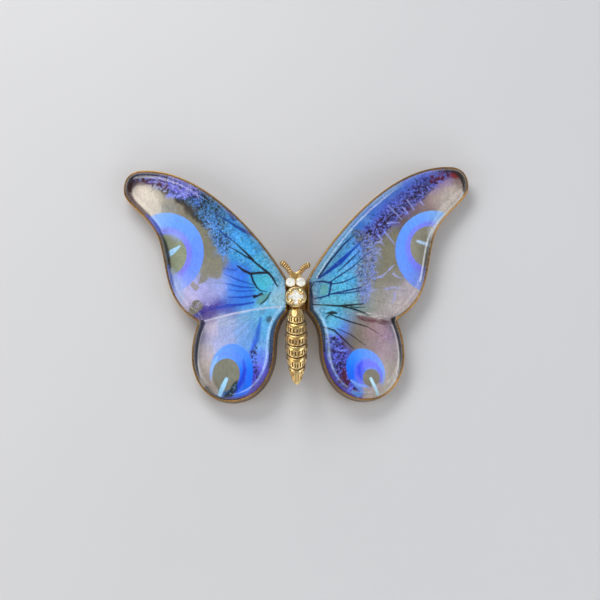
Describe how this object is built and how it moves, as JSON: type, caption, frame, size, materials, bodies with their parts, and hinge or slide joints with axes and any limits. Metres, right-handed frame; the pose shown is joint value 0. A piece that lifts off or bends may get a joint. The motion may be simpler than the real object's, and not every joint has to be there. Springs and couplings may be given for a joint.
{
  "type": "butterfly brooch",
  "caption": "Butterfly brooch with two bezel-set wings holding picture inlays under clear domes, a ringed gilt body with set stones, and a hinged pin with a turning safety catch.",
  "frame": {"origin": "middle of the brooch on the surface it lies on, face up; the wings touch that surface at their outer edges", "axes": "+X along the wing span to the right wing, +Y to the head, +Z out of the face"},
  "size_m": [0.0612, 0.0424, 0.0083],
  "materials": {
    "antique_brass": "worn antique gold plate, darker in the corners",
    "cast_gilt": "bright cast gilt, slightly grainy",
    "forewing_inlay": "shimmering blue scales with eye spot and dark veins",
    "hindwing_inlay": "shimmering lilac and blue scales with eye spot",
    "clear_dome": "clear polished dome",
    "white_stone": "faceted white stone",
    "pin_steel": "drawn wire"
  },
  "bodies": {
    "brooch": {"back_plate_left": "antique_brass", "back_plate_right": "antique_brass", "bezel_left": "antique_brass", "bezel_right": "antique_brass", "forewing_inlay_left": "forewing_inlay", "forewing_inlay_right": "forewing_inlay", "hindwing_inlay_left": "hindwing_inlay", "hindwing_inlay_right": "hindwing_inlay", "dome_left": "clear_dome", "dome_right": "clear_dome", "bridge_plate": "antique_brass", "thorax_collet": "cast_gilt", "thorax_stone": "white_stone", "thorax_beads": "cast_gilt", "head": "cast_gilt", "eye_collet_left": "cast_gilt", "eye_collet_right": "cast_gilt", "eye_stone_left": "white_stone", "eye_stone_right": "white_stone", "antenna_left": "cast_gilt", "antenna_right": "cast_gilt", "abdomen": "cast_gilt", "hinge_bracket": "antique_brass", "hinge_rivet": "antique_brass", "catch_housing": "antique_brass"},
    "pin": {"pin_stem": "pin_steel"},
    "catch": {"catch_rotor": "pin_steel"}
  },
  "joints": [
    {"name": "pin_swing", "type": "hinge", "parent": "brooch", "child": "pin", "pos_m": [-0.0095, -0.003, 0.0013], "axis": [0, 1, 0], "range_deg": [0, 100]},
    {"name": "catch_turn", "type": "hinge", "parent": "brooch", "child": "catch", "pos_m": [0.0092, -0.003, 0.0013], "axis": [1, 0, 0], "range_deg": [0, 170]}
  ]
}
